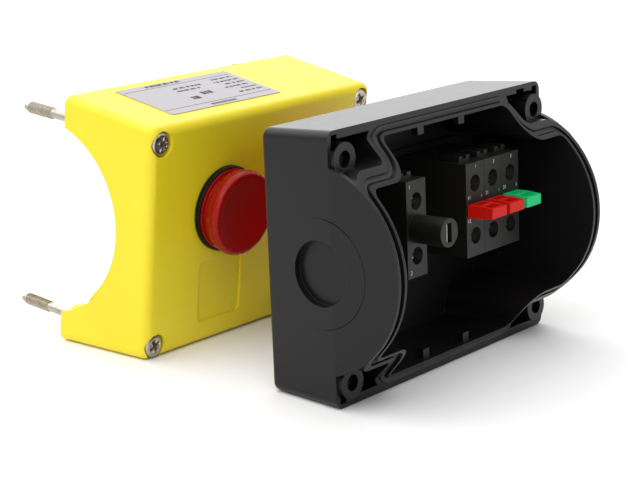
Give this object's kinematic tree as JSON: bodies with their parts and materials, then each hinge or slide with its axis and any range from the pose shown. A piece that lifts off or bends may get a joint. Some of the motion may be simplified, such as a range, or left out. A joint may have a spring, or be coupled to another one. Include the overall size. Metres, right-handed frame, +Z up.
{
  "type": "emergency stop control station",
  "caption": "Plastic control station taken apart: open black base with contact blocks and a lamp holder, and a yellow cover with a mushroom emergency stop button and a red indicator light.",
  "frame": {"origin": "on the floor, under the middle of the box round both halves", "axes": "+X to the viewer's right along the length, -Y out of both open and faced sides towards the viewer, +Z up"},
  "size_m": [0.1176, 0.164, 0.0849],
  "materials": {
    "yellow_plastic": "fine satin moulding",
    "black_plastic": "fine satin moulding",
    "grey_plastic": "satin",
    "bezel_plastic": "semi-gloss",
    "red_plastic": "semi-gloss",
    "green_plastic": "semi-gloss",
    "red_lens": "tinted, moulded",
    "zinc_steel": "zinc plated",
    "brass": "stamped",
    "rubber": "matte",
    "label": "silver film",
    "circuit_board": "satin"
  },
  "bodies": {
    "base": {"base_housing": "black_plastic", "base_gasket": "rubber", "contact_block_1": "grey_plastic", "contact_block_2": "grey_plastic", "contact_block_3": "grey_plastic", "block_backs": "grey_plastic", "contact_spring_1": "zinc_steel", "contact_spring_2": "zinc_steel", "contact_spring_3": "zinc_steel", "fixed_contacts": "brass", "terminal_clamps": "zinc_steel", "terminal_screws": "zinc_steel", "lamp_holder": "grey_plastic", "lamp_board": "circuit_board"},
    "cover": {"cover_housing": "yellow_plastic", "rating_label": "label", "indicator_body": "bezel_plastic", "indicator_seal": "rubber", "indicator_lens": "red_lens", "indicator_nut": "bezel_plastic", "stop_body": "bezel_plastic", "stop_seal": "rubber", "stop_nut": "bezel_plastic", "stop_retainer": "bezel_plastic", "stop_spring": "zinc_steel"},
    "stop_stem": {"stop_stem": "bezel_plastic", "stop_pusher": "bezel_plastic"},
    "stop_head": {"mushroom_head": "red_plastic"},
    "plunger_1": {"contact_plunger_1": "red_plastic", "contact_bridge_1": "brass"},
    "plunger_2": {"contact_plunger_2": "red_plastic", "contact_bridge_2": "brass"},
    "plunger_3": {"contact_plunger_3": "green_plastic", "contact_bridge_3": "brass"},
    "screw_1": {"cover_screw_1": "zinc_steel"},
    "screw_2": {"cover_screw_2": "zinc_steel"},
    "screw_3": {"cover_screw_3": "zinc_steel"},
    "screw_4": {"cover_screw_4": "zinc_steel"}
  },
  "joints": [
    {"name": "cover_removal", "type": "slide", "parent": "base", "child": "cover", "axis": [0, 1, 0], "range_m": [-0.015, 0.06]},
    {"name": "plunger_1_press", "type": "slide", "parent": "base", "child": "plunger_1", "axis": [0, 0.9992, -0.0407], "range_m": [0, 0.004], "stiffness_N_per_m": 300, "springref_m": -0.005, "deforming": ["contact_spring_1"]},
    {"name": "plunger_2_press", "type": "slide", "parent": "base", "child": "plunger_2", "axis": [0, 0.9992, -0.0407], "range_m": [0, 0.004], "stiffness_N_per_m": 300, "springref_m": -0.005, "deforming": ["contact_spring_2"]},
    {"name": "plunger_3_press", "type": "slide", "parent": "base", "child": "plunger_3", "axis": [0, 0.9992, -0.0407], "range_m": [0, 0.004], "stiffness_N_per_m": 300, "springref_m": -0.005, "deforming": ["contact_spring_3"]},
    {"name": "stop_press", "type": "slide", "parent": "cover", "child": "stop_stem", "axis": [0, 0.996, 0.0894], "range_m": [0, 0.004], "stiffness_N_per_m": 800, "springref_m": -0.01, "deforming": ["stop_spring"]},
    {"name": "stop_turn", "type": "hinge", "parent": "stop_stem", "child": "stop_head", "pos_m": [0.0192, 0.00457, 0.04512], "axis": [0, 0.996, 0.0894], "range_deg": [0, 45], "stiffness_Nm_per_rad": 0.02},
    {"name": "screw_1_float", "type": "slide", "parent": "cover", "child": "screw_1", "axis": [0, -0.996, -0.0894], "range_m": [0, 0.012]},
    {"name": "screw_2_float", "type": "slide", "parent": "cover", "child": "screw_2", "axis": [0, -0.996, -0.0894], "range_m": [0, 0.012]},
    {"name": "screw_3_float", "type": "slide", "parent": "cover", "child": "screw_3", "axis": [0, -0.996, -0.0894], "range_m": [0, 0.012]},
    {"name": "screw_4_float", "type": "slide", "parent": "cover", "child": "screw_4", "axis": [0, -0.996, -0.0894], "range_m": [0, 0.012]}
  ]
}
